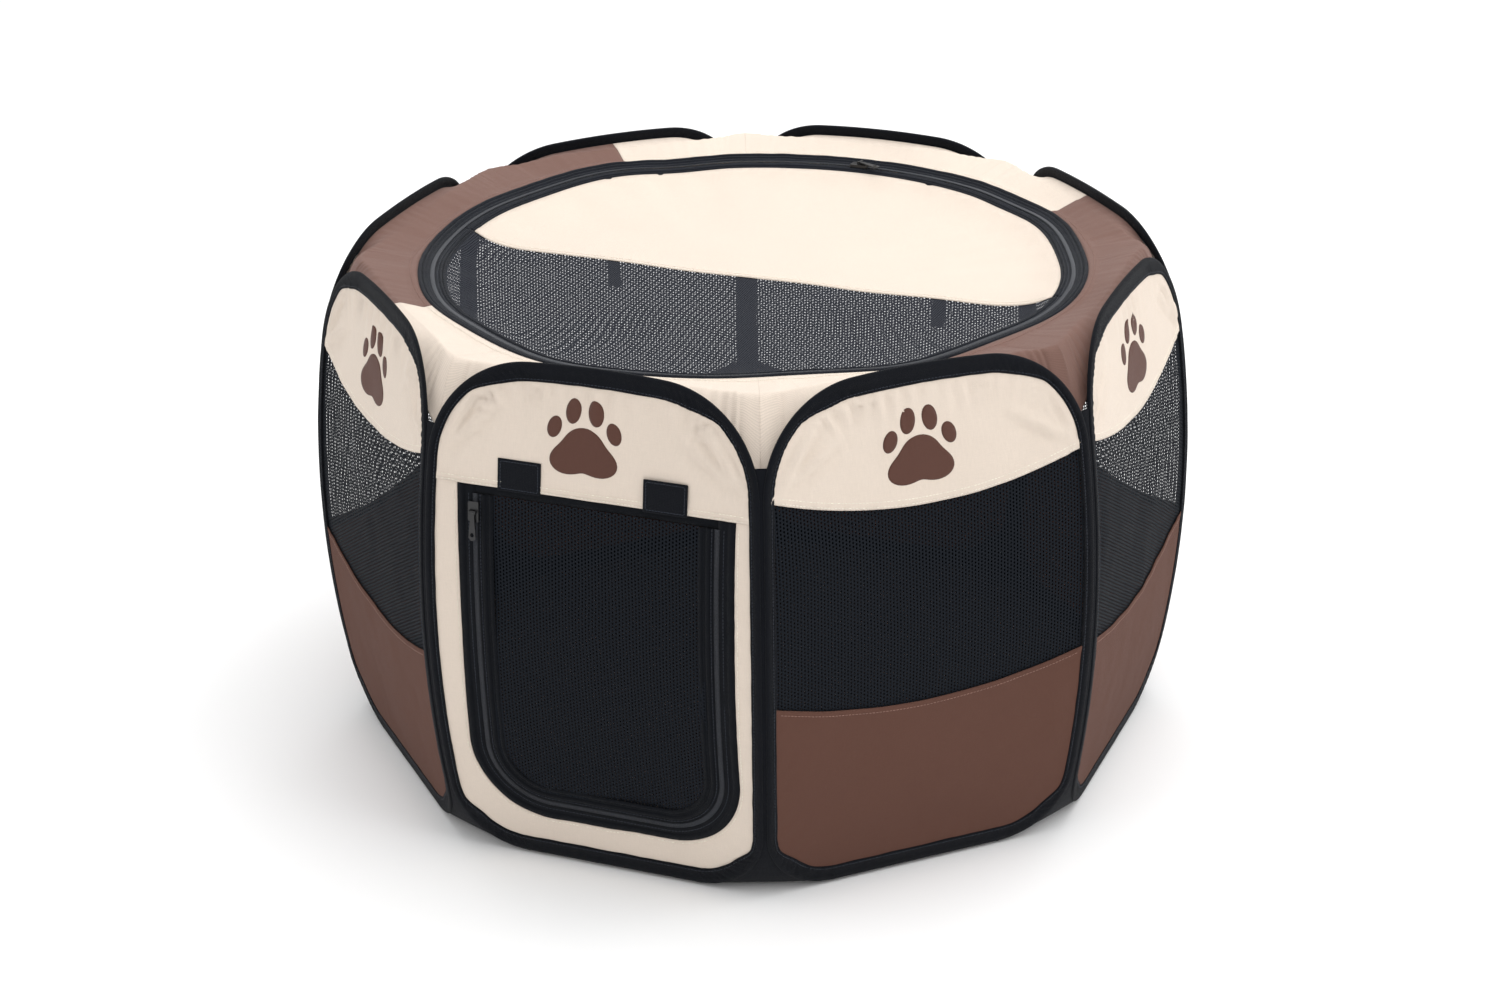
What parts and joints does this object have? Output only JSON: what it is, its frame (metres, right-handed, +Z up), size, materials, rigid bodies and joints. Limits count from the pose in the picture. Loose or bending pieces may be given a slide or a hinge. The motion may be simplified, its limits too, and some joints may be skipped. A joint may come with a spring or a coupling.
{
  "type": "folding pet playpen",
  "caption": "Eight-sided soft pet playpen of spring hoops in bound cloth and mesh panels, with a zipped mesh door, a sloping skirt and a zipped round top cover.",
  "frame": {"origin": "centre of the floor sheet's underside", "axes": "+Z up; the door panel faces -Y, and +X is to its right seen from outside the door"},
  "size_m": [0.8918, 0.8928, 0.555],
  "materials": {
    "spring_steel": "flat spring steel",
    "binding": "folded woven binding tape",
    "cream_cloth": "coated polyester plain weave",
    "brown_cloth": "coated polyester plain weave",
    "mesh": "open knitted mesh",
    "zip_tape": "woven tape with a nylon coil",
    "zip_metal": "black enamel on zinc",
    "hook_and_loop": "napped loop pile",
    "webbing": "narrow ribbed webbing"
  },
  "bodies": {
    "door_panel": {"hoop_wire_1": "spring_steel", "hoop_binding_1": "binding", "door_header": "cream_cloth", "door_surround": "cream_cloth", "door_zip_tape": "zip_tape", "floor": "brown_cloth", "skirt_front": "cream_cloth", "skirt_right": "brown_cloth", "skirt_back": "cream_cloth", "skirt_left": "brown_cloth"},
    "panel_2": {"hoop_wire_2": "spring_steel", "hoop_binding_2": "binding", "panel_header_2": "cream_cloth", "panel_mesh_2": "mesh", "panel_base_2": "brown_cloth"},
    "panel_3": {"hoop_wire_3": "spring_steel", "hoop_binding_3": "binding", "panel_header_3": "cream_cloth", "panel_mesh_3": "mesh", "panel_base_3": "brown_cloth"},
    "panel_4": {"hoop_wire_4": "spring_steel", "hoop_binding_4": "binding", "panel_header_4": "cream_cloth", "panel_mesh_4": "mesh", "panel_base_4": "brown_cloth"},
    "panel_5": {"hoop_wire_5": "spring_steel", "hoop_binding_5": "binding", "panel_header_5": "cream_cloth", "panel_mesh_5": "mesh", "panel_base_5": "brown_cloth"},
    "panel_6": {"hoop_wire_6": "spring_steel", "hoop_binding_6": "binding", "panel_header_6": "cream_cloth", "panel_mesh_6": "mesh", "panel_base_6": "brown_cloth"},
    "panel_7": {"hoop_wire_7": "spring_steel", "hoop_binding_7": "binding", "panel_header_7": "cream_cloth", "panel_mesh_7": "mesh", "panel_base_7": "brown_cloth"},
    "panel_8": {"hoop_wire_8": "spring_steel", "hoop_binding_8": "binding", "panel_header_8": "cream_cloth", "panel_mesh_8": "mesh", "panel_base_8": "brown_cloth"},
    "door_flap": {"door_mesh": "mesh", "door_flap_tape": "zip_tape"},
    "door_slider": {"door_slider": "zip_metal"},
    "door_puller": {"door_puller": "zip_metal"},
    "door_tab_left": {"door_tab_left": "hook_and_loop"},
    "door_tab_right": {"door_tab_right": "hook_and_loop"},
    "top_ring": {"top_zip_tape": "zip_tape"},
    "top_slider": {"top_slider": "zip_metal"},
    "top_puller": {"top_puller": "zip_metal"},
    "cover": {"cover_tape_back": "zip_tape", "cover_shade": "cream_cloth", "cover_ties": "webbing"},
    "cover_flap": {"cover_tape_front": "zip_tape", "cover_mesh": "mesh"}
  },
  "joints": [
    {"name": "panel_fold", "type": "hinge", "parent": "door_panel", "child": "panel_2", "pos_m": [0.17236, -0.41612, 0], "axis": [0, 0, 1], "range_deg": [0, 120], "stiffness_Nm_per_rad": 0.2, "deforming": ["skirt_front", "skirt_right", "skirt_back", "skirt_left", "top_zip_tape", "cover_tape_back", "cover_tape_front", "cover_shade", "cover_mesh", "cover_ties", "top_slider", "top_puller", "floor"]},
    {"name": "seam_2_3", "type": "hinge", "parent": "panel_2", "child": "panel_3", "pos_m": [0.44485, -0.18426, 0], "axis": [0, 0, 1], "range_deg": [-120, 0]},
    {"name": "seam_3_4", "type": "hinge", "parent": "panel_3", "child": "panel_4", "pos_m": [0.41612, 0.17236, 0], "axis": [0, 0, 1], "range_deg": [0, 120]},
    {"name": "seam_4_5", "type": "hinge", "parent": "panel_4", "child": "panel_5", "pos_m": [0.18426, 0.44485, 0], "axis": [0, 0, 1], "range_deg": [-120, 0]},
    {"name": "seam_1_8", "type": "hinge", "parent": "door_panel", "child": "panel_8", "pos_m": [-0.18426, -0.44485, 0], "axis": [0, 0, 1], "range_deg": [0, 120]},
    {"name": "seam_8_7", "type": "hinge", "parent": "panel_8", "child": "panel_7", "pos_m": [-0.41612, -0.17236, 0], "axis": [0, 0, 1], "range_deg": [-120, 0]},
    {"name": "seam_7_6", "type": "hinge", "parent": "panel_7", "child": "panel_6", "pos_m": [-0.44485, 0.18426, 0], "axis": [0, 0, 1], "range_deg": [0, 120]},
    {"name": "top_ring_centre", "type": "hinge", "parent": "door_panel", "child": "top_ring", "pos_m": [-0.02032, -0.25217, 0], "axis": [0, 0, 1], "range_deg": [0, 120]},
    {"name": "door_hang", "type": "hinge", "parent": "door_panel", "child": "door_flap", "pos_m": [0, -0.43742, 0.41487], "axis": [1, 0, 0], "range_deg": [-150, 0]},
    {"name": "door_slider_run", "type": "hinge", "parent": "door_panel", "child": "door_slider", "pos_m": [0, 0.78654, 0.2788], "axis": [1, 0, 0], "range_deg": [0, 11]},
    {"name": "door_puller_swing", "type": "hinge", "parent": "door_slider", "child": "door_puller", "pos_m": [-0.12525, -0.44344, 0.39653], "axis": [1, 0, 0], "range_deg": [-150, 0]},
    {"name": "door_tab_left_peel", "type": "hinge", "parent": "door_panel", "child": "door_tab_left", "pos_m": [-0.076, -0.43267, 0.45458], "axis": [1, 0, 0], "range_deg": [-165, 0]},
    {"name": "door_tab_right_peel", "type": "hinge", "parent": "door_panel", "child": "door_tab_right", "pos_m": [0.08, -0.43267, 0.45458], "axis": [1, 0, 0], "range_deg": [-165, 0]},
    {"name": "top_slider_run", "type": "hinge", "parent": "top_ring", "child": "top_slider", "pos_m": [0, 0, 0.528], "axis": [0, 0, 1], "range_deg": [0, 340]},
    {"name": "top_puller_swing", "type": "hinge", "parent": "top_slider", "child": "top_puller", "pos_m": [0, 0.34825, 0.5336], "axis": [-0.4226, -0.9063, 0], "range_deg": [0, 160]},
    {"name": "cover_lift", "type": "slide", "parent": "top_ring", "child": "cover", "axis": [0, 0, 1], "range_m": [0, 0.25]},
    {"name": "cover_flap_fold", "type": "hinge", "parent": "cover", "child": "cover_flap", "pos_m": [0, 0, 0.5289], "axis": [1, 0, 0], "range_deg": [-170, 0]}
  ],
  "couplings": [
    {"joint": "seam_2_3", "follows": "panel_fold", "ratio": -1},
    {"joint": "seam_3_4", "follows": "panel_fold", "ratio": 1},
    {"joint": "seam_4_5", "follows": "panel_fold", "ratio": -1},
    {"joint": "seam_1_8", "follows": "panel_fold", "ratio": 1},
    {"joint": "seam_8_7", "follows": "panel_fold", "ratio": -1},
    {"joint": "seam_7_6", "follows": "panel_fold", "ratio": 1},
    {"joint": "top_ring_centre", "follows": "panel_fold", "ratio": 1}
  ]
}
